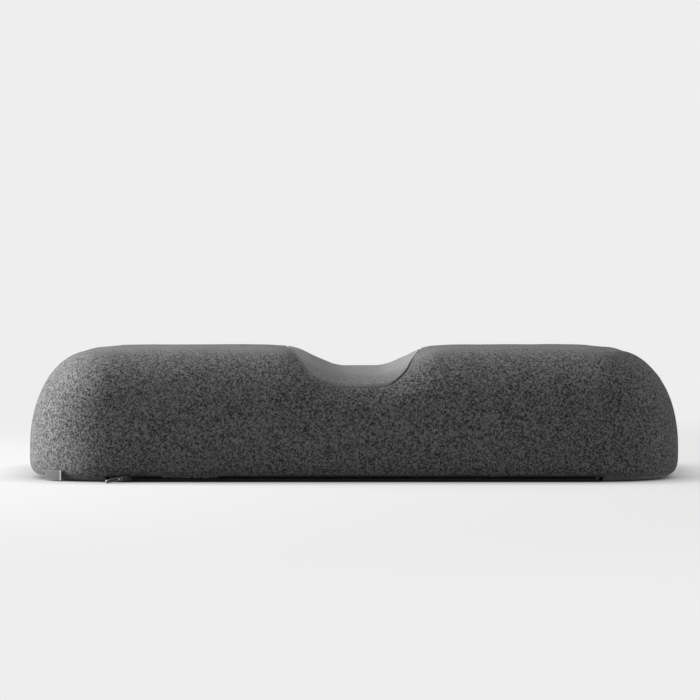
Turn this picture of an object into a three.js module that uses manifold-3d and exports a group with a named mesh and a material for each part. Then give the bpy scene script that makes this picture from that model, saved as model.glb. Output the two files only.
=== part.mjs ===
// A neck traction pillow: a foam core with a dip across its middle, a thin liner, and a zip-off
// knit cover with a separate cradle panel in the dip. The zip runs along the front lower edge.
// Millimetres. +X runs along the pillow, -Y is its front, +Z is up, and the underside is z = 0.
import * as THREE from 'three';
import { mergeVertices } from 'three/addons/utils/BufferGeometryUtils.js';
import Module from 'manifold-3d';

const wasm = await Module();
wasm.setup();

// ---- Driving dimensions ----
const LENGTH = 600;
const DEPTH = 300;
const HEIGHT = 118;
const CORNER = 80; // plan radius of the four corners
const SHOULDER = { run: 58, drop: 88 }; // how the ends roll over to the top
const FACE_ROLL = 44; // radius from the front and back faces to the top
const COVER_FOOT = 14; // rounding under the cover's lower edge
const CORE_FOOT = 26; // the same on the liner and the foam, which leaves room for the zip
// The neck dip lies a little right of the middle and fades out down to the floor height.
const DIP = { middle: 5.5, depth: 21, half: 72, flatness: 1.5, floor: 40 };
const GAP = 0.3; // between neighbouring pieces

const COVER = 1.6; // thickness of the knit
const LINER = 0.6;
const LINER_INSET = COVER + GAP;
const FOAM_INSET = LINER_INSET + LINER + GAP;
const SEAM_Z = 3.8; // seam between the cover's sides and its base
const END_SEAM_X = 279; // seams of the two end panels
const LINER_SEAM_Z = 28;

// The cradle panel widens towards the back: flare is its growth for each millimetre.
const CRADLE = { half: 58.5, front: 138.7, round: 24, flare: 0.00108, padFloor: 66 };

// The zip: the slider travels along +X, with its front towards -Y.
const ZIP = { half: 222, z: 3.8, start: -205, coilHalf: 218, tape: 0.5, edge: 0.6 };
const ZIP_MOUTH = { half: 226, top: 7.4, back: -134 };
const COIL = { front: -144.4, back: -143.5, width: 1.2 };
const TAPE_Y = -142.95;
const SLIDER = { half: 4.25, reach: 2.9, front: -145.5, back: -141.7, plate: 0.8, lip: 0.7, web: 0.3 };
const BAIL = { half: 3.4, wire: 0.8, width: 1.6, front: -151.6 };
const HINGE_Y = -149.5;
// The pull tab: half its width, and how far from the hinge it bends, ends and is pierced.
const TAB = {
  half: 1.7, thick: 1.4, crank: 6, tip: 22, drop: 1.7, bar: 0.5, rim: 0.6, window: 5, swing: 42,
};
const LABEL = { width: 24, height: 9, thick: 0.6, low: 1, along: 43 };

// Grid stations: the flat run along X is finer across the dip.
const FLAT_HALF = LENGTH / 2 - CORNER;
const DIP_RUN = [-4, -3, -2, -1, 0, 1, 2, 3, 4].map((step) => DIP.middle + (step * DIP.half) / 4);
const RUN_X = [-1, -0.6, ...DIP_RUN.map((x) => x / FLAT_HALF), 0.6, 1];
const RUN_Y = [-1, 0, 1];
const CORNER_STEPS = 3;
const FOOT_STEPS = 3;
const SHOULDER_STEPS = 6;

// ---- Helpers ----
const quarter = Math.PI / 2;

function solid(geometry) {
  const bare = geometry.clone();
  bare.deleteAttribute('normal');
  bare.deleteAttribute('uv');
  const merged = mergeVertices(bare, 1e-4);
  const vertProperties = new Float32Array(merged.attributes.position.array);
  const triVerts = new Uint32Array(merged.index.array);
  return new wasm.Manifold(new wasm.Mesh({ numProp: 3, vertProperties, triVerts }));
}

function fromSolid(body) {
  const { vertProperties, triVerts } = body.getMesh();
  const geometry = new THREE.BufferGeometry();
  geometry.setAttribute('position', new THREE.BufferAttribute(new Float32Array(vertProperties), 3));
  geometry.setIndex(new THREE.BufferAttribute(new Uint32Array(triVerts), 1));
  const flat = geometry.toNonIndexed();
  flat.computeVertexNormals();
  return flat;
}

function block(x0, x1, y0, y1, z0, z1) {
  const box = new THREE.BoxGeometry(x1 - x0, y1 - y0, z1 - z0);
  return box.translate((x0 + x1) / 2, (y0 + y1) / 2, (z0 + z1) / 2);
}

const blockSolid = (...limits) => solid(block(...limits));

// Extrudes a shape drawn in (Y, Z) along X.
function alongX(shape, x0, x1) {
  const geometry = new THREE.ExtrudeGeometry(shape, { depth: x1 - x0, bevelEnabled: false });
  const axes = new THREE.Matrix4().makeBasis(
    new THREE.Vector3(0, 1, 0),
    new THREE.Vector3(0, 0, 1),
    new THREE.Vector3(1, 0, 0),
  );
  return geometry.applyMatrix4(axes).translate(x0, 0, 0);
}

// The outline of a bent strip of even thickness around a line of [y, z] points.
function strip(line, thickness) {
  const points = line.map(([y, z]) => new THREE.Vector2(y, z));
  const offset = (index, side) => {
    const before = points[Math.max(index - 1, 0)];
    const after = points[Math.min(index + 1, points.length - 1)];
    const here = points[index];
    const into = here.clone().sub(before).normalize();
    const out = after.clone().sub(here).normalize();
    const mean = into.clone().add(out).normalize();
    const along = into.lengthSq() > 0 ? into : out;
    const reach = (side * thickness) / 2 / mean.dot(along);
    return here.clone().add(new THREE.Vector2(-mean.y, mean.x).multiplyScalar(reach));
  };
  const left = points.map((_, index) => offset(index, 1));
  const right = points.map((_, index) => offset(index, -1));
  return new THREE.Shape([...left, ...right.reverse()]);
}

// ---- The pillow's body ----
const dipAt = (x) => {
  const share = Math.min(Math.abs(x - DIP.middle) / DIP.half, 1) ** DIP.flatness;
  return (DIP.depth * (1 + Math.cos(share * Math.PI))) / 2;
};

// Half sizes and height of the ring at a step between the underside and the top.
function ring(step, inset, foot) {
  const roll = (height, radius, low) => {
    const rise = Math.max(height - low, 0) / (HEIGHT - inset - low);
    return radius * (1 - Math.sqrt(Math.max(1 - rise * rise, 0)));
  };
  if (step <= FOOT_STEPS) {
    const angle = (step / FOOT_STEPS) * quarter;
    const tuck = foot * (1 - Math.sin(angle));
    return { tuckX: tuck, tuckY: tuck, z: inset + foot * (1 - Math.cos(angle)) };
  }
  const low = HEIGHT - SHOULDER.drop;
  const angle = ((step - FOOT_STEPS - 1) / SHOULDER_STEPS) * quarter;
  const z = low + (HEIGHT - inset - low) * Math.sin(angle);
  return {
    tuckX: roll(z, SHOULDER.run - inset, low),
    tuckY: roll(z, FACE_ROLL - inset, HEIGHT - FACE_ROLL),
    z,
  };
}

// A point of the ring's outline, between -1 and 1 along each side; corners take three steps.
function outline(column, row, columns, rows, size) {
  const halfX = LENGTH / 2 - size.inset - size.tuckX;
  const halfY = DEPTH / 2 - size.inset - size.tuckY;
  const roundX = Math.max(CORNER - size.inset - size.tuckX, 12);
  const roundY = Math.max(CORNER - size.inset - size.tuckY, 12);
  const side = (index, count) => {
    if (index < CORNER_STEPS) return [-1, (CORNER_STEPS - index) / CORNER_STEPS];
    if (index > count - CORNER_STEPS) return [1, (index - count + CORNER_STEPS) / CORNER_STEPS];
    return [0, 0];
  };
  const [endX, shareX] = side(column, columns);
  const [endY, shareY] = side(row, rows);
  const corner = (signX, signY, angle) => [
    signX * (halfX - roundX + roundX * Math.cos(angle)),
    signY * (halfY - roundY + roundY * Math.sin(angle)),
  ];
  if (column === 0 || column === columns) {
    const signX = column === 0 ? -1 : 1;
    if (endY === 0) return [signX * halfX, RUN_Y[row - CORNER_STEPS] * (halfY - roundY)];
    return corner(signX, endY, (shareY * quarter) / 2);
  }
  const signY = row === 0 ? -1 : 1;
  if (endX === 0) return [RUN_X[column - CORNER_STEPS] * (halfX - roundX), signY * halfY];
  return corner(endX, signY, quarter - (shareX * quarter) / 2);
}

// The rounded body with the dip, offset inwards by inset.
function pillow(inset, foot) {
  const columns = RUN_X.length - 1 + 2 * CORNER_STEPS;
  const rows = RUN_Y.length - 1 + 2 * CORNER_STEPS;
  const steps = FOOT_STEPS + 1 + SHOULDER_STEPS;
  const geometry = new THREE.BoxGeometry(2, 2, 2, columns, rows, steps);
  const position = geometry.attributes.position;
  for (let index = 0; index < position.count; index += 1) {
    const column = Math.round(((position.getX(index) + 1) / 2) * columns);
    const row = Math.round(((position.getY(index) + 1) / 2) * rows);
    const step = Math.round(((position.getZ(index) + 1) / 2) * steps);
    const size = { inset, ...ring(step, inset, foot) };
    const edge = (c, r) => outline(c, r, columns, rows, size);
    let [x, y] = [0, 0];
    if (column % columns === 0 || row % rows === 0) {
      [x, y] = edge(column, row);
    } else {
      // inside the flat top or underside: a Coons patch between the four sides
      const u = column / columns;
      const v = row / rows;
      const mix = (axis) =>
        (1 - v) * edge(column, 0)[axis] + v * edge(column, rows)[axis]
        + (1 - u) * edge(0, row)[axis] + u * edge(columns, row)[axis]
        - (1 - u) * (1 - v) * edge(0, 0)[axis] - u * (1 - v) * edge(columns, 0)[axis]
        - (1 - u) * v * edge(0, rows)[axis] - u * v * edge(columns, rows)[axis];
      [x, y] = [mix(0), mix(1)];
    }
    const fade = Math.max(size.z - DIP.floor, 0) / (HEIGHT - DIP.floor);
    position.setXYZ(index, x, y, size.z - dipAt(x) * fade);
  }
  return solid(geometry);
}

// A column over the cradle's plan, from one height to another, grown or shrunk by grow.
function cradleColumn(grow, low, high) {
  const half = CRADLE.half + grow;
  const front = CRADLE.front + grow;
  const round = CRADLE.round + grow;
  const shape = new THREE.Shape();
  shape.moveTo(half - round, -front);
  shape.absarc(half - round, round - front, round, -quarter, 0);
  shape.absarc(half - round, front - round, round, 0, quarter);
  shape.absarc(round - half, front - round, round, quarter, 2 * quarter);
  shape.absarc(round - half, round - front, round, 2 * quarter, 3 * quarter);
  const options = { depth: high - low, bevelEnabled: false, curveSegments: 4 };
  const column = new THREE.ExtrudeGeometry(shape, options).translate(0, 0, low);
  const { position } = column.attributes;
  for (let index = 0; index < position.count; index += 1) {
    position.setX(index, position.getX(index) * (1 + CRADLE.flare * position.getY(index)));
  }
  return solid(column);
}

const FAR = 400;
const outer = pillow(0, COVER_FOOT);
const coverShell = outer.subtract(pillow(COVER, COVER_FOOT));
const linerShell = pillow(LINER_INSET, CORE_FOOT).subtract(pillow(LINER_INSET + LINER, CORE_FOOT));
const foamBody = pillow(FOAM_INSET, CORE_FOOT);
const aboveSeam = blockSolid(-FAR, FAR, -FAR, FAR, SEAM_Z + GAP / 2, FAR);
const belowSeam = blockSolid(-FAR, FAR, -FAR, FAR, -FAR, SEAM_Z - GAP / 2);

function coverWrapPanel() {
  const span = END_SEAM_X - GAP / 2;
  const mouth = blockSolid(-ZIP_MOUTH.half, ZIP_MOUTH.half, -FAR, ZIP_MOUTH.back, 0, ZIP_MOUTH.top);
  return coverShell
    .intersect(aboveSeam)
    .intersect(blockSolid(-span, span, -FAR, FAR, -FAR, FAR))
    .subtract(cradleColumn(GAP / 2, HEIGHT / 2, FAR))
    .subtract(mouth);
}

function coverEndPanel(side) {
  const near = END_SEAM_X + GAP / 2;
  const limits = side < 0 ? [-FAR, -near] : [near, FAR];
  return coverShell.intersect(aboveSeam).intersect(blockSolid(...limits, -FAR, FAR, -FAR, FAR));
}

function coverBasePanel() {
  const mouth = blockSolid(-ZIP_MOUTH.half, ZIP_MOUTH.half, -FAR, ZIP_MOUTH.back, -FAR, FAR);
  return coverShell.intersect(belowSeam).subtract(mouth);
}

const cradlePanel = () => coverShell.intersect(cradleColumn(-GAP / 2, HEIGHT / 2, FAR));

const linerSleeve = () =>
  linerShell.intersect(blockSolid(-FAR, FAR, -FAR, FAR, LINER_SEAM_Z + GAP / 2, FAR));

const linerBase = () =>
  linerShell.intersect(blockSolid(-FAR, FAR, -FAR, FAR, -FAR, LINER_SEAM_Z - GAP / 2));

const foamCore = () => foamBody.subtract(cradleColumn(-4, CRADLE.padFloor, FAR));

const cradlePad = () => foamBody.intersect(cradleColumn(-4 - GAP, CRADLE.padFloor + GAP, FAR));

// ---- The zip ----
function zipTape(side) {
  // upper: from the coil out to the inside of the front face; lower: flat under the slider
  // and back over the base panel
  const line = side > 0
    ? [[TAPE_Y, ZIP.z + ZIP.edge], [TAPE_Y, 7.4], [-146.4, 11.6], [-147.6, 18]]
    : [[TAPE_Y, ZIP.z - ZIP.edge], [TAPE_Y, 0.4], [-135.6, 0.4], [-133.8, 2.2], [-128, 2.2]];
  return alongX(strip(line, ZIP.tape), -ZIP.half, ZIP.half);
}

function zipCoil(side) {
  const near = ZIP.z + side * ZIP.edge;
  const far = near + side * COIL.width;
  const middle = (near + far) / 2;
  const shape = new THREE.Shape([
    new THREE.Vector2(COIL.back, near),
    new THREE.Vector2((COIL.back + COIL.front) / 2, near),
    new THREE.Vector2(COIL.front, middle),
    new THREE.Vector2((COIL.back + COIL.front) / 2, far),
    new THREE.Vector2(COIL.back, far),
  ]);
  return alongX(shape, -ZIP.coilHalf, ZIP.coilHalf);
}

function sliderBody() {
  const { half, reach, front, back, plate, lip, web } = SLIDER;
  const [x0, x1] = [-half, half];
  const [low, high] = [ZIP.z - reach, ZIP.z + reach];
  const lipBack = TAPE_Y - ZIP.tape / 2 - GAP;
  return blockSolid(x0, x1, front, front + plate, low, high)
    .add(blockSolid(x0, x1, back - plate, back, low, high))
    .add(blockSolid(x0, x1, front, lipBack, high - lip, high))
    .add(blockSolid(x0, x1, front, lipBack, low, low + lip))
    .add(blockSolid(x0, x1, front, back, ZIP.z - web, ZIP.z + web));
}

function sliderBail() {
  const { half, wire, width, front } = BAIL;
  const back = SLIDER.front - GAP;
  const [low, high] = [ZIP.z - width / 2, ZIP.z + width / 2];
  const loop = blockSolid(-half, half, front, back, low, high);
  return loop.subtract(blockSolid(wire - half, half - wire, front + wire, back - wire, low - 1, high + 1));
}

// Drawn in (X, Z) about the hinge pin, then extruded through its thickness along Y.
function pullTab() {
  const { half, thick, crank, tip, drop, bar, rim, window } = TAB;
  const shape = new THREE.Shape();
  shape.moveTo(bar, -half);
  shape.lineTo(bar, half);
  shape.lineTo(-crank, half);
  shape.absarc(-tip, -drop, half, quarter, 3 * quarter);
  shape.lineTo(-crank, -half);
  const eye = half - rim;
  shape.holes.push(new THREE.Path([
    new THREE.Vector2(-bar, -eye),
    new THREE.Vector2(-window, -eye),
    new THREE.Vector2(-window, eye),
    new THREE.Vector2(-bar, eye),
  ]));
  const slope = drop / (tip - crank);
  const slotEdge = (x, side) => new THREE.Vector2(x, (x + crank) * slope + side * bar);
  shape.holes.push(new THREE.Path([
    slotEdge(-9, 1),
    slotEdge(-9, -1),
    slotEdge(-20, -1),
    slotEdge(-20, 1),
  ]));
  const options = { depth: thick, bevelEnabled: false, curveSegments: 8 };
  return new THREE.ExtrudeGeometry(shape, options).rotateX(quarter).translate(0, thick / 2, 0);
}

// A clamp on one tape's edge, beyond the end of its coil.
function topStop(side) {
  const x0 = -ZIP.coilHalf - GAP - 2.4;
  const near = ZIP.z + side * ZIP.edge;
  const far = near + side * COIL.width;
  return block(x0, x0 + 2.4, COIL.front, COIL.back, Math.min(near, far), Math.max(near, far));
}

function bottomStop() {
  const x0 = ZIP.coilHalf + GAP;
  const reach = ZIP.edge + COIL.width;
  return block(x0, x0 + 2.6, COIL.front, COIL.back, ZIP.z - reach, ZIP.z + reach);
}

// A blank sewn-in label on the front left corner; along is its place round the corner, in degrees.
function careLabel() {
  const { width, height, thick, low } = LABEL;
  return block(-width / 2, width / 2, -thick, 0, low, low + height);
}

// ---- Materials ----
const paint = (color, roughness, metalness = 0) =>
  new THREE.MeshStandardMaterial({ color, roughness, metalness });
const material = {
  knit: () => paint(0x3f3f40, 0.95),
  cradle: () => paint(0x5b5b5d, 0.95),
  base: () => paint(0x2c2c2e, 0.9),
  liner: () => paint(0xd9d8d4, 0.95),
  foam: () => paint(0xe9e2cf, 0.9),
  tape: () => paint(0x1c1c1e, 0.9),
  coil: () => paint(0x18181a, 0.5),
  metal: () => paint(0x6d6f72, 0.4, 1),
  label: () => paint(0xc9c9c6, 0.8),
};

// ---- Assembly ----
const part = new THREE.Group();

function place(parent, name, look, geometry) {
  const mesh = new THREE.Mesh(geometry, material[look]());
  mesh.name = name;
  parent.add(mesh);
  return mesh;
}

place(part, 'foam_core', 'foam', fromSolid(foamCore()));
place(part, 'cradle_pad', 'foam', fromSolid(cradlePad()));
place(part, 'liner_sleeve', 'liner', fromSolid(linerSleeve()));
place(part, 'liner_base', 'liner', fromSolid(linerBase()));
place(part, 'cover_wrap_panel', 'knit', fromSolid(coverWrapPanel()));
place(part, 'cover_left_end', 'knit', fromSolid(coverEndPanel(-1)));
place(part, 'cover_right_end', 'knit', fromSolid(coverEndPanel(1)));
place(part, 'cradle_panel', 'cradle', fromSolid(cradlePanel()));
place(part, 'cover_base_panel', 'base', fromSolid(coverBasePanel()));

place(part, 'zip_tape_upper', 'tape', zipTape(1));
place(part, 'zip_tape_lower', 'tape', zipTape(-1));
place(part, 'zip_coil_upper', 'coil', zipCoil(1));
place(part, 'zip_coil_lower', 'coil', zipCoil(-1));
place(part, 'zip_top_stop_upper', 'metal', topStop(1));
place(part, 'zip_top_stop_lower', 'metal', topStop(-1));
place(part, 'zip_bottom_stop', 'metal', bottomStop());

const slider = new THREE.Group();
slider.position.x = ZIP.start;
part.add(slider);
place(slider, 'zip_slider_body', 'metal', fromSolid(sliderBody()));
place(slider, 'zip_slider_bail', 'metal', fromSolid(sliderBail()));

const tab = new THREE.Group();
tab.position.set(0, HINGE_Y, ZIP.z);
tab.rotation.z = THREE.MathUtils.degToRad(TAB.swing);
slider.add(tab);
place(tab, 'zip_pull_tab', 'metal', pullTab());

const label = new THREE.Group();
const around = THREE.MathUtils.degToRad(LABEL.along);
label.position.set(
  CORNER - LENGTH / 2 - (CORNER + 1) * Math.sin(around),
  CORNER - DEPTH / 2 - (CORNER + 1) * Math.cos(around),
  0,
);
label.rotation.z = -around;
part.add(label);
place(label, 'care_label', 'label', careLabel());

export default part;
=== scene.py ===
"""Neck traction pillow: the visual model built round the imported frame.

Lengths are in millimetres in the shape code and become metres where a mesh is made.
+X runs along the pillow, -Y is its front with the zip, and z = 0 is what it lies on.
"""
import math

import bmesh
import bpy
import numpy as np
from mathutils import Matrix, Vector, noise
from mathutils.bvhtree import BVHTree


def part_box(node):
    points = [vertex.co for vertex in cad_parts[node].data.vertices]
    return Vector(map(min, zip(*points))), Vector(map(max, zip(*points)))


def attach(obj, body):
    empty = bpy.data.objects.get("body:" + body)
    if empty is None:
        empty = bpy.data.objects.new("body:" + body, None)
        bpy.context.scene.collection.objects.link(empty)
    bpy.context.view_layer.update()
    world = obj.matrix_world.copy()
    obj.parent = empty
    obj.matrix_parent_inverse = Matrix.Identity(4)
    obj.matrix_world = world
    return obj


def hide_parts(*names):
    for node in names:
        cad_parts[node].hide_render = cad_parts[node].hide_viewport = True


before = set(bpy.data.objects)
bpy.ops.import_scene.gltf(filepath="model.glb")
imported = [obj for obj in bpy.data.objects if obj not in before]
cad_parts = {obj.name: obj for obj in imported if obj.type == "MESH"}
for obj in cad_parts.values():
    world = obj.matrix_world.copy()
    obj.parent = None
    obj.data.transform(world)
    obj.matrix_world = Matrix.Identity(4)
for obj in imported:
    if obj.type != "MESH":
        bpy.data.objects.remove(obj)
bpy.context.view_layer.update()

# ---- Sizes, from the frame ----
MM = 0.001


def box_mm(node):
    """Lowest and highest corner of a CAD node, in millimetres."""
    return [Vector(corner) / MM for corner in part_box(node)]


END_LOW, _ = box_mm("cover_left_end")
_, END_HIGH = box_mm("cover_right_end")
WRAP_LOW, WRAP_HIGH = box_mm("cover_wrap_panel")
LENGTH = END_HIGH.x - END_LOW.x
DEPTH = WRAP_HIGH.y - WRAP_LOW.y
HEIGHT = WRAP_HIGH.z
END_SEAM = WRAP_HIGH.x
CRADLE_HIGH = box_mm("cradle_panel")[1]
BASE_TOP = box_mm("cover_base_panel")[1].z
TAPE_HIGH = box_mm("zip_tape_upper")[1]

CORNER = 80  # plan radius of the corners
SHOULDER_RUN = 58
SHOULDER_DROP = 88
FACE_ROLL = 44
COVER_FOOT = 14
CORE_FOOT = 26
DIP_DEPTH = 21
DIP_HALF = 72
DIP_X = 5.5  # the dip sits a little right of the middle
DIP_FLATNESS = 1.5
DIP_FLOOR = 40
SEAM_Z = BASE_TOP + 0.15
CRADLE_HALF = 58.5
CRADLE_FLARE = 0.00108  # growth of the cradle's width for each millimetre towards the back
CRADLE_FRONT = CRADLE_HIGH.y + 0.15
CRADLE_ROUND = 24
KNIT = 1.4  # thickness of the cover's knit
MOUTH_HALF = TAPE_HIGH.x + 3  # the zip's open slit
MOUTH_BACK = -134
SETTLE = 1.5  # the skin starts this much inside and swells out in the simulation
SWELL = 1.2  # the most that the simulation may add past the skin's own shape

# How far the cover is drawn in at its seams, and how wide each furrow is
END_PULL, END_WIDTH = 0.2, 1.6
BASE_PULL, BASE_WIDTH = 0.4, 2.0
PUCKER, PUCKER_REACH = 0.45, 7

LINER = 0.6  # thickness of the liner
LINER_INSET = 1.9
LINER_SEAM_Z = box_mm("liner_base")[1].z
FOAM_INSET = 2.8
PAD_LOW = box_mm("cradle_pad")[0]
PAD_GROW = -4.0  # the foam pad's outline, from the cradle panel's
PAD_GAP = 0.4

PALE = 0.855  # the floor and background, as linear light


# ---- Shape of the pillow ----
def smooth(value):
    value = min(max(value, 0.0), 1.0)
    return value * value * (3 - 2 * value)


def dip(x):
    share = min(abs(x - DIP_X) / DIP_HALF, 1.0) ** DIP_FLATNESS
    return DIP_DEPTH * (1 + math.cos(share * math.pi)) / 2


def ring(level, inset, foot):
    """(tuck along X, tuck along Y, height) at a level from 0, underside, to 1, flat top."""
    foot_share, wall_share = 0.2, 0.3
    if level <= foot_share:
        angle = level / foot_share * math.pi / 2
        tuck = foot * (1 - math.sin(angle))
        return tuck, tuck, inset + foot * (1 - math.cos(angle))
    low = HEIGHT - SHOULDER_DROP
    if level <= wall_share:
        start = inset + foot
        return 0, 0, start + (low - start) * (level - foot_share) / (wall_share - foot_share)
    angle = (level - wall_share) / (1 - wall_share) * math.pi / 2
    z = low + (HEIGHT - inset - low) * math.sin(angle)

    def roll(radius, base):
        rise = max(z - base, 0) / (HEIGHT - inset - base)
        return radius * (1 - math.sqrt(max(1 - rise * rise, 0)))

    return roll(SHOULDER_RUN - inset, low), roll(FACE_ROLL - inset, HEIGHT - FACE_ROLL), z


class Lattice:
    """A closed skin over the pillow's shape: a box lattice of columns, rows and levels."""

    def __init__(self, along, across, corner, levels):
        self.x_runs = np.linspace(-1, 1, along + 1)
        self.y_runs = np.linspace(-1, 1, across + 1)
        self.corner = corner
        self.levels = levels
        self.columns = along + 2 * corner
        self.rows = across + 2 * corner

    def outline(self, column, row, size):
        inset, tuck_x, tuck_y = size
        half_x = LENGTH / 2 - inset - tuck_x
        half_y = DEPTH / 2 - inset - tuck_y
        round_x = max(CORNER - inset - tuck_x, 12)
        round_y = max(CORNER - inset - tuck_y, 12)
        side_x = (column > self.columns - self.corner) - (column < self.corner)
        side_y = (row > self.rows - self.corner) - (row < self.corner)
        if column in (0, self.columns):
            sign = 1 if column else -1
            if side_y == 0:
                return sign * half_x, self.y_runs[row - self.corner] * (half_y - round_y)
            steps = max(self.corner - row, row - self.rows + self.corner)
            angle = steps / self.corner * math.pi / 4
            signs = (sign, side_y)
        else:
            sign = 1 if row else -1
            if side_x == 0:
                return self.x_runs[column - self.corner] * (half_x - round_x), sign * half_y
            steps = max(self.corner - column, column - self.columns + self.corner)
            angle = math.pi / 2 - steps / self.corner * math.pi / 4
            signs = (side_x, sign)
        return (
            signs[0] * (half_x - round_x + round_x * math.cos(angle)),
            signs[1] * (half_y - round_y + round_y * math.sin(angle)),
        )

    def point(self, column, row, level, inset, foot):
        tuck_x, tuck_y, z = ring(level / self.levels, inset, foot)
        size = (inset, tuck_x, tuck_y)
        last_c, last_r = self.columns, self.rows
        if column in (0, last_c) or row in (0, last_r):
            x, y = self.outline(column, row, size)
        else:
            u, v = column / last_c, row / last_r
            front, back = self.outline(column, 0, size), self.outline(column, last_r, size)
            left, right = self.outline(0, row, size), self.outline(last_c, row, size)
            corners = [self.outline(c, r, size) for r in (0, last_r) for c in (0, last_c)]
            shares = ((1 - u) * (1 - v), u * (1 - v), (1 - u) * v, u * v)
            x, y = (
                (1 - v) * front[a] + v * back[a] + (1 - u) * left[a] + u * right[a]
                - sum(share * corner[a] for share, corner in zip(shares, corners))
                for a in (0, 1)
            )
        fade = max(z - DIP_FLOOR, 0) / (HEIGHT - DIP_FLOOR)
        return Vector((x, y, z - dip(x) * fade))

    def mesh(self, inset, foot):
        """(points in mm, quads) of the whole skin, faces pointing out."""
        found, points, quads = {}, [], []

        def vertex(column, row, level):
            key = (column, row, level)
            if key not in found:
                found[key] = len(points)
                points.append(self.point(column, row, level, inset, foot))
            return found[key]

        def side(first, second, place, flip):
            for a in range(first):
                for b in range(second):
                    ring_of = [place(a, b), place(a + 1, b), place(a + 1, b + 1), place(a, b + 1)]
                    quad = [vertex(*key) for key in ring_of]
                    quads.append(quad[::-1] if flip else quad)

        columns, rows, levels = self.columns, self.rows, self.levels
        side(columns, rows, lambda a, b: (a, b, 0), True)
        side(columns, rows, lambda a, b: (a, b, levels), False)
        side(columns, levels, lambda a, b: (a, 0, b), False)
        side(columns, levels, lambda a, b: (a, rows, b), True)
        side(rows, levels, lambda a, b: (0, a, b), True)
        side(rows, levels, lambda a, b: (columns, a, b), False)
        return points, quads


def cradle_distance(x, y, grow=0.0):
    """Distance outside the cradle's outline in plan, negative inside."""
    over_x = abs(x / (1 + CRADLE_FLARE * y)) - CRADLE_HALF - grow + CRADLE_ROUND
    over_y = abs(y) - CRADLE_FRONT - grow + CRADLE_ROUND
    outside = math.hypot(max(over_x, 0), max(over_y, 0))
    return outside + min(max(over_x, over_y), 0) - CRADLE_ROUND


# ---- Mesh helpers ----
def place_mesh(mesh):
    """A smooth-shaded object of the mesh's own name, in the scene."""
    mesh.polygons.foreach_set("use_smooth", [True] * len(mesh.polygons))
    piece = bpy.data.objects.new(mesh.name, mesh)
    bpy.context.scene.collection.objects.link(piece)
    return piece


def new_object(name, points, faces):
    mesh = bpy.data.meshes.new(name)
    mesh.from_pydata([Vector(p) * MM for p in points], [], faces)
    mesh.validate()
    return place_mesh(mesh)


def tree_of(piece):
    return BVHTree.FromObject(piece, bpy.context.evaluated_depsgraph_get())


def apply_modifiers(piece):
    evaluated = piece.evaluated_get(bpy.context.evaluated_depsgraph_get())
    mesh = bpy.data.meshes.new_from_object(evaluated)
    old = piece.data
    piece.modifiers.clear()
    piece.data = mesh
    mesh.name = piece.name
    bpy.data.meshes.remove(old)


def subdivide(piece, levels=1):
    modifier = piece.modifiers.new("fine", "SUBSURF")
    modifier.levels = modifier.render_levels = levels
    apply_modifiers(piece)


def coordinates(mesh):
    points = np.empty(len(mesh.vertices) * 3)
    mesh.vertices.foreach_get("co", points)
    return points.reshape(-1, 3)


def normals_of(mesh):
    normals = np.empty(len(mesh.vertices) * 3)
    mesh.vertices.foreach_get("normal", normals)
    return normals.reshape(-1, 3)


def set_coordinates(mesh, points):
    mesh.vertices.foreach_set("co", points.ravel())
    mesh.update()


# ---- The swollen skin ----
def seam_weight(point):
    """How firmly the skin is held: 1 on a seam or where it lies on something."""
    x, y, z = point
    held = smooth((9 - z) / 5)
    if z > HEIGHT / 2:
        held = max(held, smooth(1 - abs(cradle_distance(x, y)) / 7))
    return max(held, smooth(1 - abs(abs(x) - END_SEAM) / 6))


def swell(piece):
    """Cloth with pressure pushes the skin out from the foam between its seams."""
    start = coordinates(piece.data)
    group = piece.vertex_groups.new(name="held")
    for index, point in enumerate(start / MM):
        weight = seam_weight(point)
        if weight > 0.01:
            group.add([index], weight, "REPLACE")
    cloth = piece.modifiers.new("cloth", "CLOTH")
    settings = cloth.settings
    settings.quality = 4
    settings.mass = 0.15
    settings.tension_stiffness = 12
    settings.compression_stiffness = 8
    settings.bending_stiffness = 1.5
    settings.use_pressure = True
    settings.uniform_pressure_force = 4
    settings.vertex_group_mass = "held"
    settings.effector_weights.gravity = 0
    cloth.collision_settings.use_collision = False
    scene = bpy.context.scene
    for number in range(1, 19):
        scene.frame_set(number)
    evaluated = piece.evaluated_get(bpy.context.evaluated_depsgraph_get())
    moved = (coordinates(evaluated.data) - start) / MM
    piece.modifiers.clear()
    piece.vertex_groups.clear()
    scene.frame_set(1)
    # only the swelling along the normal is kept, softly capped, and less of it where it sank
    outward = normals_of(piece.data)
    rise = np.sum(moved * outward, axis=1, keepdims=True) - SETTLE
    kept = np.where(rise > 0, SWELL, 0.4 * SWELL) * np.tanh(rise / 2)
    set_coordinates(piece.data, start + outward * (SETTLE + kept) * MM)


def make_skin():
    lattice = Lattice(along=74, across=24, corner=9, levels=26)
    skin = new_object("skin", *lattice.mesh(SETTLE, COVER_FOOT))
    swell(skin)
    subdivide(skin)
    return skin


# ---- Panels cut from the skin ----
def ripple(x, y, z, size, seed=0.0):
    """Soft seeded noise between about -1 and 1; size is the length of a wave in mm."""
    return noise.noise(Vector((x / size + seed, y / size - seed, z / size + 2 * seed)))


def cradle_groove(x, y):
    """Depth of the crack round the cradle panel: deepest along the front on the right."""
    front = smooth((-y - 100) / 32)
    return 0.8 + front * (0.9 + 4.0 * smooth((x + 10) / 35))


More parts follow.
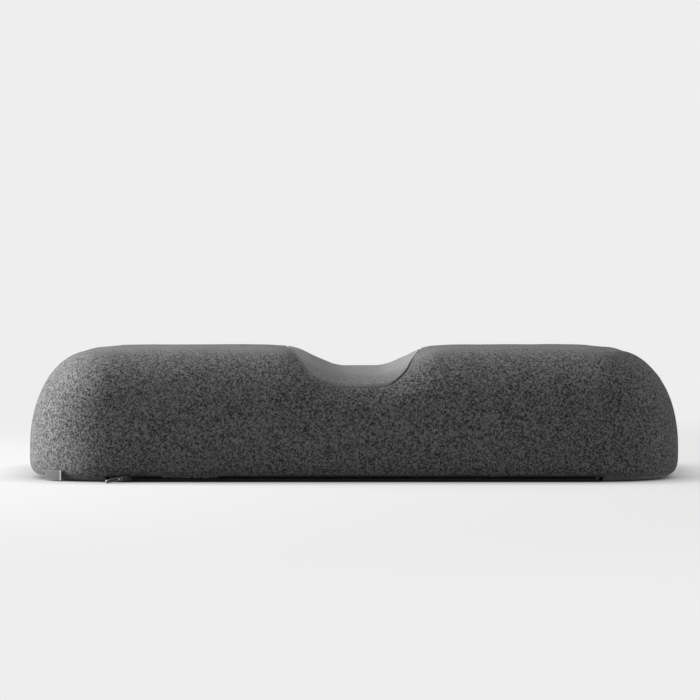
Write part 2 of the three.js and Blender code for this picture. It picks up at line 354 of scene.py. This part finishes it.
def seam_drop(point, normal):
    """Where a point of the skin goes once the seams are pulled in, all in mm."""
    x, y, z = point
    top = z > HEIGHT / 2
    around_cradle = cradle_distance(x, y) if top else 99.0
    around_end = abs(abs(x) - END_SEAM)
    around_base = abs(z - SEAM_Z)
    near = min(abs(around_cradle), around_end, around_base * 1.5)
    pull = END_PULL * math.exp(-((around_end / END_WIDTH) ** 2))
    pull += BASE_PULL * math.exp(-((around_base / BASE_WIDTH) ** 2))
    pucker = PUCKER if top else PUCKER * (1 - 0.85 * mouth_share(x, y))
    pull += pucker * math.exp(-near / PUCKER_REACH) * ripple(x, y, z, 7.5, 3.1)
    pull += 0.6 * ripple(x, y, z, 75, 7.7) + 0.25 * ripple(x, y, z, 28, 1.3)
    if z < 2:
        pull = 0
    moved = point - normal * pull
    if top and around_cradle < 4:
        share = smooth(around_cradle / 1.2)
        moved.z -= cradle_groove(x, y) * (1 - share)
    return moved


def mouth_share(x, y):
    """1 along the zip's mouth and 0 past its ends."""
    if y > 0:
        return 0.0
    return smooth((MOUTH_HALF + 3 - abs(x)) / 8)


def open_mouth(point):
    """The cover's lower edge lifts and stands out a little over the zip."""
    lift, stand_out, fade = 1.9, 0.5, 5
    x, y, z = point
    away = z - SEAM_Z
    if away < 0 or z > 22:
        return point
    share = mouth_share(x, y) * math.exp(-away / fade)
    return Vector((x, y - stand_out * share, z + lift * share))


def in_mouth(point):
    """Whether the base panel is cut away here, where only the lower tape runs."""
    return abs(point.x) < MOUTH_HALF and point.y < MOUTH_BACK


def refine(bm, chosen, cuts):
    edges = {edge for face in bm.faces if chosen(face.calc_center_median() / MM) for edge in face.edges}
    bmesh.ops.subdivide_edges(bm, edges=list(edges), cuts=cuts, use_grid_fill=True)


def cut_plane(bm, place, normal):
    geometry = bm.verts[:] + bm.edges[:] + bm.faces[:]
    bmesh.ops.bisect_plane(bm, geom=geometry, plane_co=place * MM, plane_no=normal)


def take_faces(bm, name, wanted):
    """A new object from the faces of bm whose centres are wanted."""
    part = bm.copy()
    unwanted = [face for face in part.faces if not wanted(face.calc_center_median() / MM)]
    bmesh.ops.delete(part, geom=unwanted, context="FACES")
    mesh = bpy.data.meshes.new(name)
    part.to_mesh(mesh)
    part.free()
    return place_mesh(mesh)


def thicken(piece, thickness):
    modifier = piece.modifiers.new("thickness", "SOLIDIFY")
    modifier.thickness = thickness * MM
    modifier.offset = -1
    modifier.use_even_offset = False
    apply_modifiers(piece)
    piece.data.polygons.foreach_set("use_smooth", [True] * len(piece.data.polygons))
    piece.data.set_sharp_from_angle(angle=math.radians(50))


def place_seams(panel, tree):
    """Pulls in the seams; every point lies on the skin, so neighbours still meet."""
    mesh = panel.data
    normals = [tree.find_nearest(vert.co)[1] for vert in mesh.vertices]
    for vert, normal in zip(mesh.vertices, normals):
        moved = open_mouth(seam_drop(vert.co / MM, normal))
        moved.z = max(moved.z, 0)
        vert.co = moved * MM
    mesh.update()


def make_cover(skin):
    tree = tree_of(skin)
    bm = bmesh.new()
    bm.from_mesh(skin.data)
    refine(bm, lambda c: c.z > HEIGHT / 2 and -4.5 < cradle_distance(c.x, c.y) < 4.5, 3)
    for side in (-1, 1):
        for shift in (-3.2, -1.5, 0, 1.5, 3.2):
            cut_plane(bm, Vector((side * (END_SEAM + shift), 0, 0)), (1, 0, 0))
    for shift in (-1.2, 0, 1.2, 3):
        cut_plane(bm, Vector((0, 0, SEAM_Z + shift)), (0, 0, 1))
    for side in (-1, 1):
        cut_plane(bm, Vector((side * MOUTH_HALF, 0, 0)), (1, 0, 0))
    cut_plane(bm, Vector((0, MOUTH_BACK, 0)), (0, 1, 0))

    def base(c):
        return c.z < SEAM_Z

    def cradle_hole(c):
        return c.z > HEIGHT / 2 and cradle_distance(c.x, c.y) < -2.2

    panels = {
        "cover_base": take_faces(bm, "cover_base", lambda c: base(c) and not in_mouth(c)),
        "cover_left": take_faces(bm, "cover_left", lambda c: c.x < -END_SEAM and not base(c)),
        "cover_right": take_faces(bm, "cover_right", lambda c: c.x > END_SEAM and not base(c)),
        "cover_wrap": take_faces(
            bm, "cover_wrap", lambda c: abs(c.x) < END_SEAM and not base(c) and not cradle_hole(c)
        ),
    }
    bm.free()
    for panel in panels.values():
        place_seams(panel, tree)
        thicken(panel, KNIT)
    return panels


def patch(grow, steps_x, steps_y):
    """A grid over the cradle's rounded outline: (plan points, quads, share from the rim)."""
    half, front, bend = CRADLE_HALF + grow, CRADLE_FRONT + grow, CRADLE_ROUND + grow

    def rim(u, v):
        """The outline's point for a point of the unit square's edge."""
        x, y = u * half, v * front
        over_x, over_y = abs(x) - half + bend, abs(y) - front + bend
        if over_x > 0 and over_y > 0:
            turn = math.atan2(over_y, over_x)
            x = math.copysign(half - bend + bend * math.cos(turn), x)
            y = math.copysign(front - bend + bend * math.sin(turn), y)
        return x, y

    points, quads = [], []
    ease = [math.sin(t * math.pi / 2) for t in np.linspace(-1, 1, steps_x + 1)]
    ease_y = [math.copysign(1 - (1 - abs(t)) ** 1.35, t) for t in np.linspace(-1, 1, steps_y + 1)]
    for v in ease_y:
        for u in ease:
            reach = max(abs(u), abs(v), 1e-9)
            edge_x, edge_y = rim(u / reach, v / reach)
            blend = reach ** 3
            x = (1 - blend) * u * half + blend * edge_x * reach
            y = (1 - blend) * v * front + blend * edge_y * reach
            points.append((x * (1 + CRADLE_FLARE * y), y))
    row = steps_x + 1
    for b in range(steps_y):
        for a in range(steps_x):
            first = b * row + a
            quads.append((first, first + 1, first + row + 1, first + row))
    return points, quads


def surface_below(tree, x, y):
    hit = tree.ray_cast(Vector((x, y, 300)) * MM, Vector((0, 0, -1)))[0]
    return hit.z / MM


def make_cradle(skin):
    """The padded panel let into the dip: it crowns a little and its rim rolls into the crack."""
    tree = tree_of(skin)
    crown, crown_run, roll_width = 0.6, 20, 1.5
    plan, quads = patch(-0.5, 64, 110)
    points = []
    for x, y in plan:
        inside = -cradle_distance(x, y)
        z = surface_below(tree, x, y)
        roll = 1 - smooth((inside - 0.4) / roll_width)
        z += crown * smooth(inside / crown_run) - 0.85 * cradle_groove(x, y) * roll ** 1.6
        z += 0.35 * ripple(x, y, 0, 40, 5.2) + 0.3 * roll * ripple(x, y, 0, 7, 9.1)
        points.append((x, y, z))
    cradle = new_object("cradle", points, quads)
    thicken(cradle, KNIT)
    return cradle


# ---- Camera, floor and lights ----
def make_stage():
    scene = bpy.context.scene
    camera = bpy.data.objects.new("camera", bpy.data.cameras.new("camera"))
    scene.collection.objects.link(camera)
    camera.data.lens = 168
    camera.data.clip_end = 50
    camera.location = (-0.0037, -3.092, 0.192)
    camera.rotation_euler = (math.radians(90 - 1.41), 0, 0)
    scene.camera = camera

    reach = 30000
    corners = [(x * reach, y * reach, 0) for x, y in ((-1, -1), (1, -1), (1, 1), (-1, 1))]
    floor = new_object("floor", corners, [(0, 1, 2, 3)])
    floor.data.materials.append(floor_material())
    scene.view_settings.view_transform = "Standard"

    world = bpy.data.worlds.new("studio")
    world.use_nodes = True
    background = world.node_tree.nodes["Background"]
    background.inputs["Color"].default_value = (0.93, 0.95, 1.0, 1)
    background.inputs["Strength"].default_value = 0.18
    # what the camera sees past the floor is as pale as the floor itself
    tree = world.node_tree
    seen = add_node(tree, "ShaderNodeBackground", {"Color": (PALE, PALE, PALE, 1)})
    path = add_node(tree, "ShaderNodeLightPath")
    shares = {0: path.outputs["Is Camera Ray"], 1: background.outputs[0], 2: seen.outputs[0]}
    mix = add_node(tree, "ShaderNodeMixShader", shares)
    tree.links.new(mix.outputs[0], tree.nodes["World Output"].inputs["Surface"])
    scene.world = world

    def softbox(name, place, target, size, power):
        lamp = bpy.data.objects.new(name, bpy.data.lights.new(name, "AREA"))
        lamp.data.shape = "RECTANGLE"
        lamp.data.size, lamp.data.size_y = size
        lamp.data.energy = power
        lamp.location = place
        aim = Vector(target) - Vector(place)
        lamp.rotation_euler = aim.to_track_quat("-Z", "Y").to_euler()
        scene.collection.objects.link(lamp)

    softbox("overhead", (-0.7, -0.25, 1.9), (0, 0, 0), (2.2, 2.0), 41)
    softbox("left", (-1.75, 0.1, 0.5), (0, 0, 0.05), (0.9, 0.8), 112)
    softbox("right", (1.7, -0.25, 0.45), (0, 0, 0.05), (0.8, 0.6), 9)


# ---- Materials ----
def shader(name):
    made = bpy.data.materials.new(name)
    made.use_nodes = True
    return made, made.node_tree, made.node_tree.nodes["Principled BSDF"]


def add_node(tree, kind, inputs=None, **settings):
    made = tree.nodes.new(kind)
    for key, value in settings.items():
        setattr(made, key, value)
    for key, value in (inputs or {}).items():
        if isinstance(value, bpy.types.NodeSocket):
            tree.links.new(value, made.inputs[key])
        else:
            made.inputs[key].default_value = value
    return made


def math_node(tree, operation, *values):
    return add_node(tree, "ShaderNodeMath", dict(enumerate(values)), operation=operation).outputs[0]


def add_relief(tree, surface, height, strength, depth):
    """Bumps of a height that runs from 0 to 1, depth mm deep."""
    settings = {"Height": height, "Strength": strength, "Distance": depth * MM}
    bump = add_node(tree, "ShaderNodeBump", settings)
    tree.links.new(bump.outputs[0], surface.inputs["Normal"])


def floor_material():
    """Pale paper: lit near the object, fading into an even glow further out."""
    made, tree, surface = shader("floor")
    surface.inputs["Base Color"].default_value = (0.12, 0.121, 0.124, 1)
    surface.inputs["Roughness"].default_value = 0.9
    surface.inputs["Specular IOR Level"].default_value = 0.1
    surface.inputs["Emission Color"].default_value = (1, 1, 1, 1)
    # painted contact shadow: ambient occlusion dims the glow under and right before the object, which
    # grounds it
    near = add_node(tree, "ShaderNodeAmbientOcclusion", {"Distance": 0.05}, samples=8)
    painted_shadow_glow = math_node(tree, "MULTIPLY", near.outputs["AO"], 0.625)
    tree.links.new(painted_shadow_glow, surface.inputs["Emission Strength"])
    glow = add_node(tree, "ShaderNodeEmission", {"Color": (PALE, PALE, PALE, 1)})
    coords = add_node(tree, "ShaderNodeTexCoord")
    radius = add_node(tree, "ShaderNodeVectorMath", {0: coords.outputs["Object"]}, operation="LENGTH")
    reach = {"Value": radius.outputs["Value"], "From Min": 0.42, "From Max": 1.3}
    fade = add_node(tree, "ShaderNodeMapRange", reach, interpolation_type="SMOOTHSTEP")
    shares = {0: fade.outputs[0], 1: surface.outputs[0], 2: glow.outputs[0]}
    mix = add_node(tree, "ShaderNodeMixShader", shares)
    tree.links.new(mix.outputs[0], tree.nodes["Material Output"].inputs["Surface"])
    return made


def knit_plane_group():
    """Height of knitted loops on one plane, from its two coordinates and the pitch of the wales."""
    group = bpy.data.node_groups.new("knit_plane", "ShaderNodeTree")
    face = group.interface
    face.new_socket("Across", in_out="INPUT", socket_type="NodeSocketFloat")
    face.new_socket("Along", in_out="INPUT", socket_type="NodeSocketFloat")
    face.new_socket("Pitch", in_out="INPUT", socket_type="NodeSocketFloat")
    face.new_socket("Height", in_out="OUTPUT", socket_type="NodeSocketFloat")
    inlet = group.nodes.new("NodeGroupInput")
    outlet = group.nodes.new("NodeGroupOutput")
    across, along, pitch = (inlet.outputs[key] for key in ("Across", "Along", "Pitch"))

    wale = math_node(group, "DIVIDE", across, pitch)
    course = math_node(group, "DIVIDE", along, math_node(group, "MULTIPLY", pitch, 0.8))
    # V-shaped loops: two slanted legs in each wale
    inside = math_node(group, "FRACT", wale)
    leg = math_node(group, "ABSOLUTE", math_node(group, "SUBTRACT", inside, 0.5))
    slant = math_node(group, "MULTIPLY_ADD", leg, 1.1, course)
    turns = math_node(group, "MULTIPLY", slant, 2 * math.pi)
    loops = math_node(group, "MULTIPLY_ADD", math_node(group, "SINE", turns), 0.25, 0.75)
    ridge = math_node(group, "SINE", math_node(group, "MULTIPLY", leg, 2 * math.pi))
    height = math_node(group, "MULTIPLY", math_node(group, "MULTIPLY_ADD", ridge, 0.6, 0.4), loops)
    group.links.new(height, outlet.inputs["Height"])
    return group


def knit_material(name, dark, light, look):
    """Mélange knit: look gives the loops' pitch and the flecks' size in mm, contrast and sheen."""
    made, tree, surface = shader(name)
    group = bpy.data.node_groups.get("knit_plane") or knit_plane_group()
    coords = add_node(tree, "ShaderNodeTexCoord")
    place = add_node(tree, "ShaderNodeSeparateXYZ", {0: coords.outputs["Object"]})
    facing = add_node(tree, "ShaderNodeSeparateXYZ", {0: coords.outputs["Normal"]})
    x, y, z = (place.outputs[axis] for axis in "XYZ")
    weights = [
        math_node(tree, "POWER", math_node(tree, "ABSOLUTE", facing.outputs[axis]), 6.0)
        for axis in "XYZ"
    ]
    total = math_node(tree, "ADD", math_node(tree, "ADD", weights[0], weights[1]), weights[2])
    summed = 0.0
    for weight, (across, along) in zip(weights, ((y, z), (x, z), (x, y))):
        plane = add_node(tree, "ShaderNodeGroup", node_tree=group)
        tree.links.new(across, plane.inputs["Across"])
        tree.links.new(along, plane.inputs["Along"])
        plane.inputs["Pitch"].default_value = look["pitch"] * MM
        summed = math_node(tree, "MULTIPLY_ADD", weight, plane.outputs["Height"], summed)
    height = math_node(tree, "DIVIDE", summed, total)

    # dark and pale fibres spun together: wandering flecks, with finer ones on top
    def flecks(size, seed, distortion):
        shifted = {0: coords.outputs["Object"], 1: (seed, seed, seed)}
        moved = add_node(tree, "ShaderNodeVectorMath", shifted)
        look_of = {"Vector": moved.outputs[0], "Scale": 1 / (size * MM), "Detail": 1.5}
        return add_node(tree, "ShaderNodeTexNoise", {**look_of, "Distortion": distortion}).outputs["Fac"]

    worms = flecks(look["fleck"], 0.0, 0.9)
    specks = flecks(look["fleck"] * 0.5, 0.37, 0.3)
    fleck = math_node(tree, "MULTIPLY_ADD", specks, 0.3, math_node(tree, "MULTIPLY", worms, 0.7))
    ramp = add_node(tree, "ShaderNodeValToRGB", {"Fac": fleck})
    ramp.color_ramp.elements[0].position = 0.5 - look["contrast"]
    ramp.color_ramp.elements[0].color = (*dark, 1)
    ramp.color_ramp.elements[1].position = 0.5 + look["contrast"]
    ramp.color_ramp.elements[1].color = (*light, 1)
    tree.links.new(ramp.outputs[0], surface.inputs["Base Color"])
    lift = math_node(tree, "MULTIPLY_ADD", fleck, 1.2, height)
    add_relief(tree, surface, lift, 0.6, 0.5)
    surface.inputs["Roughness"].default_value = 0.92
    surface.inputs["Specular IOR Level"].default_value = 0.25
    surface.inputs["Sheen Weight"].default_value = look["sheen"]
    surface.inputs["Sheen Roughness"].default_value = 0.45
    return made


def plain_material(name, color, roughness, grain, depth, metallic=0.0):
    """A finish with fine grain in its colour and relief; grain is the size of a grain in mm."""
    made, tree, surface = shader(name)
    coords = add_node(tree, "ShaderNodeTexCoord")
    settings = {"Vector": coords.outputs["Object"], "Scale": 1 / (grain * MM), "Detail": 3.0}
    grains = add_node(tree, "ShaderNodeTexNoise", settings).outputs["Fac"]
    ramp = add_node(tree, "ShaderNodeValToRGB", {"Fac": grains})
    ramp.color_ramp.elements[0].position = 0.3
    ramp.color_ramp.elements[0].color = (*(0.72 * c for c in color), 1)
    ramp.color_ramp.elements[1].position = 0.7
    ramp.color_ramp.elements[1].color = (*(min(1.2 * c, 1) for c in color), 1)
    tree.links.new(ramp.outputs[0], surface.inputs["Base Color"])
    add_relief(tree, surface, grains, 0.5, depth)
    surface.inputs["Roughness"].default_value = roughness
    surface.inputs["Metallic"].default_value = metallic
    return made


def twill_material(name, color, pitch):
    """Woven tape: slanting ribs a pitch apart, in mm."""
    made, tree, surface = shader(name)
    coords = add_node(tree, "ShaderNodeTexCoord")
    place = add_node(tree, "ShaderNodeSeparateXYZ", {0: coords.outputs["Object"]})
    side = math_node(tree, "ADD", place.outputs["Y"], place.outputs["Z"])
    slant = math_node(tree, "ADD", place.outputs["X"], side)
    turns = math_node(tree, "MULTIPLY", slant, 2 * math.pi / (pitch * MM))
    ribs = math_node(tree, "MULTIPLY_ADD", math_node(tree, "SINE", turns), 0.5, 0.5)
    ramp = add_node(tree, "ShaderNodeValToRGB", {"Fac": ribs})
    ramp.color_ramp.elements[0].color = (*(0.5 * c for c in color), 1)
    ramp.color_ramp.elements[1].color = (*(1.3 * c for c in color), 1)
    tree.links.new(ramp.outputs[0], surface.inputs["Base Color"])
    add_relief(tree, surface, ribs, 0.6, 0.2)
    surface.inputs["Roughness"].default_value = 0.85
    return made


# ---- Inside the cover ----
def inner_point(point):
    """The foam and liner sink below the crack that the cradle panel is sewn into."""
    if point.z < HEIGHT / 2:
        return point
    around = cradle_distance(point.x, point.y)
    share = 1 - smooth((abs(around + 1) - 2.5) / 6)
    return Vector((point.x, point.y, point.z - share * (cradle_groove(point.x, point.y) + 0.9)))


def inner_skin(inset):
    lattice = Lattice(along=60, across=18, corner=6, levels=20)
    points, quads = lattice.mesh(inset, CORE_FOOT)
    return [inner_point(point) for point in points], quads


def make_liner():
    shell = new_object("liner", *inner_skin(LINER_INSET))
    bm = bmesh.new()
    bm.from_mesh(shell.data)
    bpy.data.objects.remove(shell)
    cut_plane(bm, Vector((0, 0, LINER_SEAM_Z)), (0, 0, 1))
    parts = {
        "liner_top": take_faces(bm, "liner_top", lambda c: c.z > LINER_SEAM_Z),
        "liner_under": take_faces(bm, "liner_under", lambda c: c.z < LINER_SEAM_Z),
    }
    bm.free()
    for part in parts.values():
        thicken(part, LINER)
    return parts


def make_foam():
    points, quads = inner_skin(FOAM_INSET)
    whole = new_object("foam", points, quads)
    tree = tree_of(whole)
    bm = bmesh.new()
    bm.from_mesh(whole.data)
    bpy.data.objects.remove(whole)
    refine(bm, lambda c: c.z > HEIGHT / 2 and -10 < cradle_distance(c.x, c.y) < 0, 2)
    for vert in bm.verts:
        x, y, z = vert.co / MM
        inside = -cradle_distance(x, y) + PAD_GROW
        if z > HEIGHT / 2 and inside > 0:
            floor_z = PAD_LOW.z - PAD_GAP
            vert.co.z = (z + (floor_z - z) * smooth(inside / 1.2)) * MM
    mesh = bpy.data.meshes.new("foam_block")
    bm.to_mesh(mesh)
    bm.free()
    core = place_mesh(mesh)

    columns, rows = 40, 70
    plan, quads = patch(PAD_GROW - 2.2, columns, rows)
    top = [(x, y, surface_below(tree, x, y)) for x, y in plan]
    bottom = [(x, y, PAD_LOW.z) for x, y in plan]
    count = len(plan)
    faces = [tuple(q) for q in quads] + [tuple(n + count for n in q[::-1]) for q in quads]
    row = columns + 1
    rim = list(range(columns)) + [row * n + columns for n in range(rows)]
    rim += [row * rows + n for n in range(columns, 0, -1)] + [row * n for n in range(rows, 0, -1)]
    for here, after in zip(rim, rim[1:] + rim[:1]):
        faces.append((here, here + count, after + count, after))
    pad = new_object("cradle_foam", top + bottom, faces)
    return {"foam_block": core, "cradle_foam": pad}


# ---- Zip ----
def tube(points, radius, sides):
    """(points, faces) of a closed round thread along a line of points."""
    made, faces = [], []
    count = len(points)
    for index, here in enumerate(points):
        ahead = points[min(index + 1, count - 1)] - points[max(index - 1, 0)]
        across = ahead.cross(Vector((0.31, 0.87, 0.37))).normalized()
        up = ahead.cross(across).normalized()
        for side in range(sides):
            turn = side / sides * 2 * math.pi
            made.append(here + radius * (across * math.cos(turn) + up * math.sin(turn)))
    for index in range(count - 1):
        for side in range(sides):
            after = (side + 1) % sides
            first, second = index * sides, (index + 1) * sides
            faces.append((first + side, first + after, second + after, second + side))
    faces.append(tuple(range(sides))[::-1])
    faces.append(tuple((count - 1) * sides + side for side in range(sides)))
    return made, faces


def make_coil(name, node):
    """A nylon coil in place of the plain rod: one turn for each tooth."""
    low, high = box_mm(node)
    pitch, steps, wire = 1.5, 8, 0.2
    middle = (low + high) / 2
    reach_y = (high.y - low.y) / 2 - wire
    reach_z = (high.z - low.z) / 2 - wire
    turns = int((high.x - low.x - 2 * wire) / pitch)
    points = []
    for step in range(turns * steps + 1):
        turn = step / steps * 2 * math.pi
        x = low.x + wire + step / steps * pitch
        y = middle.y + reach_y * math.cos(turn)
        z = middle.z + reach_z * math.sin(turn)
        points.append(Vector((x, y, z)))
    return new_object(name, *tube(points, wire, 5))


def soften_edges(node, width):
    """Rounds the edges of a carried-over CAD piece."""
    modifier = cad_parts[node].modifiers.new("edges", "BEVEL")
    modifier.width = width * MM
    modifier.segments = 2
    modifier.limit_method = "ANGLE"
    modifier.angle_limit = math.radians(35)


def make_label(skin_tree, cloth, edge):
    """A blank folded label: up from the base seam, over at the top and down again outside."""
    centre = Vector((CORNER - LENGTH / 2, CORNER - DEPTH / 2))
    low, high = box_mm("care_label")
    turns = [
        math.atan2(centre.x - x, centre.y - y) for x, y in ((low.x, high.y), (high.x, low.y))
    ]
    turns = np.linspace(turns[0] - 0.012, turns[1] + 0.012, 13)
    top, fold = high.z, 0.5
    near, far = 0.25, 0.95  # how far the two layers stand off the cover
    middle, reach = (near + far) / 2, (far - near) / 2
    inner = [(z, near) for z in np.linspace(SEAM_Z + 0.4, top - fold, 5)]
    over = [
        (top - fold + fold * math.sin(a), middle - reach * math.cos(a)) for a in (0.7, 1.57, 2.4)
    ]
    outer = [(z, far) for z in np.linspace(top - fold, low.z, 8)]
    points = []
    for turn in turns:
        out = Vector((-math.sin(turn), -math.cos(turn)))
        wall_low = 0.0
        for z, stand in inner + over + outer:
            start = centre + out * (CORNER + 30)
            ray = Vector((start.x, start.y, max(z, SEAM_Z + 2.5))) * MM
            hit = skin_tree.ray_cast(ray, Vector((-out.x, -out.y, 0)))[0]
            wall = (Vector((hit.x, hit.y)) / MM - centre).length
            wall_low = max(wall, wall_low) if stand == far else wall
            curl = 0.5 * smooth((abs(turn - turns[6]) / (turns[-1] - turns[6]) - 0.6) / 0.4)
            spot = centre + out * (wall_low + stand + (curl if stand == far else 0))
            points.append((spot.x, spot.y, z))
    row = len(inner + over + outer)
    quads = [
        (a * row + b, (a + 1) * row + b, (a + 1) * row + b + 1, a * row + b + 1)
        for a in range(len(turns) - 1)
        for b in range(row - 1)
    ]
    label = new_object("label_sheet", points, quads)
    label.data.materials.append(cloth)
    label.data.materials.append(edge)
    pale = [1 if n // (row - 1) == len(turns) - 2 else 0 for n in range(len(quads))]
    label.data.polygons.foreach_set("material_index", pale)
    thicken(label, 0.2)
    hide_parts("care_label")
    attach(label, "pillow")


def make_stitches(tree):
    """Topstitching beside the cradle's seam, one short thread after another."""
    stitch, pitch, beside, thread = 2.6, 3.6, 1.7, 0.22
    plan, _ = patch(beside, 64, 110)
    columns, rows = 65, 111
    rim = list(range(columns - 1)) + [columns * n + columns - 1 for n in range(rows - 1)]
    rim += [columns * (rows - 1) + n for n in range(columns - 1, 0, -1)]
    rim += [columns * n for n in range(rows - 1, 0, -1)]
    path = [Vector(plan[n]) for n in rim + rim[:1]]
    steps = [0.0]
    for here, after in zip(path, path[1:]):
        steps.append(steps[-1] + (after - here).length)
    points, faces = [], []
    for number in range(int(steps[-1] / pitch)):
        spots = []
        for share in (0.0, 0.15, 0.5, 0.85, 1.0):
            at = number * pitch + share * stitch
            x = float(np.interp(at, steps, [p.x for p in path]))
            y = float(np.interp(at, steps, [p.y for p in path]))
            sunk = 0.35 if share in (0.0, 1.0) else 0.0
            spots.append(Vector((x, y, surface_below(tree, x, y) + thread * 0.4 - sunk)))
        made, ring_faces = tube(spots, thread, 6)
        start = len(points)
        points += made
        faces += [tuple(n + start for n in face) for face in ring_faces]
    return new_object("cradle_stitches", points, faces)


def set_material(piece, material):
    piece.data.materials.clear()
    piece.data.materials.append(material)


def finish_zip(tape, nylon, metal, shaded_metal):
    for side in ("upper", "lower"):
        coil = make_coil(f"coil_{side}", f"zip_coil_{side}")
        set_material(coil, nylon)
        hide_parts(f"zip_coil_{side}")
        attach(coil, "pillow")
        set_material(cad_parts[f"zip_tape_{side}"], tape)
    # painted shade: the parts inside the zip's slit take the darker copy of the pull's metal
    finishes = {
        "zip_slider_body": (0.25, shaded_metal),
        "zip_slider_bail": (0.25, shaded_metal),
        "zip_pull_tab": (0.25, metal),
        "zip_top_stop_upper": (0.2, shaded_metal),
        "zip_top_stop_lower": (0.2, shaded_metal),
        "zip_bottom_stop": (0.2, shaded_metal),
    }
    for node, (edge, finish) in finishes.items():
        soften_edges(node, edge)
        set_material(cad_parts[node], finish)


make_stage()
knit = knit_material(
    "melange_knit",
    (0.009, 0.009, 0.0093),
    (0.112, 0.112, 0.114),
    {"pitch": 1.5, "fleck": 1.9, "contrast": 0.09, "sheen": 0.08},
)
cradle_knit = knit_material(
    "cradle_knit",
    (0.035, 0.035, 0.036),
    (0.18, 0.18, 0.183),
    {"pitch": 1.0, "fleck": 1.5, "contrast": 0.18, "sheen": 0.3},
)
base_knit = knit_material(
    "base_knit",
    (0.011, 0.011, 0.0113),
    (0.125, 0.125, 0.127),
    {"pitch": 1.3, "fleck": 1.8, "contrast": 0.14, "sheen": 0.3},
)
liner_knit = knit_material(
    "liner_knit",
    (0.55, 0.55, 0.53),
    (0.75, 0.75, 0.73),
    {"pitch": 1.2, "fleck": 2.0, "contrast": 0.25, "sheen": 0.2},
)
foam = plain_material("foam", (0.8, 0.74, 0.6), 0.95, 1.2, 0.3)
tape = twill_material("zip_tape", (0.016, 0.016, 0.018), 0.9)
nylon = plain_material("nylon", (0.014, 0.014, 0.015), 0.35, 0.6, 0.02)
metal = plain_material("pull_metal", (0.09, 0.092, 0.095), 0.55, 0.9, 0.02, metallic=1.0)
# a darker copy of the pull's metal for the slider and stops: painted shade of the zip's slit
shaded_metal = plain_material("shaded_slider_metal", (0.05, 0.05, 0.053), 0.42, 0.9, 0.02, metallic=1.0)
label_cloth = plain_material("label_cloth", (0.036, 0.036, 0.037), 0.85, 1.8, 0.3)
label_edge = plain_material("label_edge", (0.15, 0.15, 0.149), 0.8, 0.5, 0.1)
thread = plain_material("thread", (0.2, 0.2, 0.204), 0.8, 0.4, 0.05)

skin = make_skin()
panels = make_cover(skin)
panels["cradle"] = make_cradle(skin)
make_label(tree_of(skin), label_cloth, label_edge)
stitches = make_stitches(tree_of(panels["cover_wrap"]))
set_material(stitches, thread)
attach(stitches, "pillow")
bpy.data.objects.remove(skin)
panels.update(make_liner())
panels.update(make_foam())
stands_for = {
    "cover_wrap": ("cover_wrap_panel", "knit", knit),
    "cover_left": ("cover_left_end", "knit", knit),
    "cover_right": ("cover_right_end", "knit", knit),
    "cover_base": ("cover_base_panel", "base_knit", base_knit),
    "cradle": ("cradle_panel", "cradle_knit", cradle_knit),
    "liner_top": ("liner_sleeve", "liner", liner_knit),
    "liner_under": ("liner_base", "liner", liner_knit),
    "foam_block": ("foam_core", "foam", foam),
    "cradle_foam": ("cradle_pad", "foam", foam),
}
for name, piece in panels.items():
    node, slot, material = stands_for[name]
    set_material(piece, material)
    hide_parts(node)
    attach(piece, "pillow")
finish_zip(tape, nylon, metal, shaded_metal)
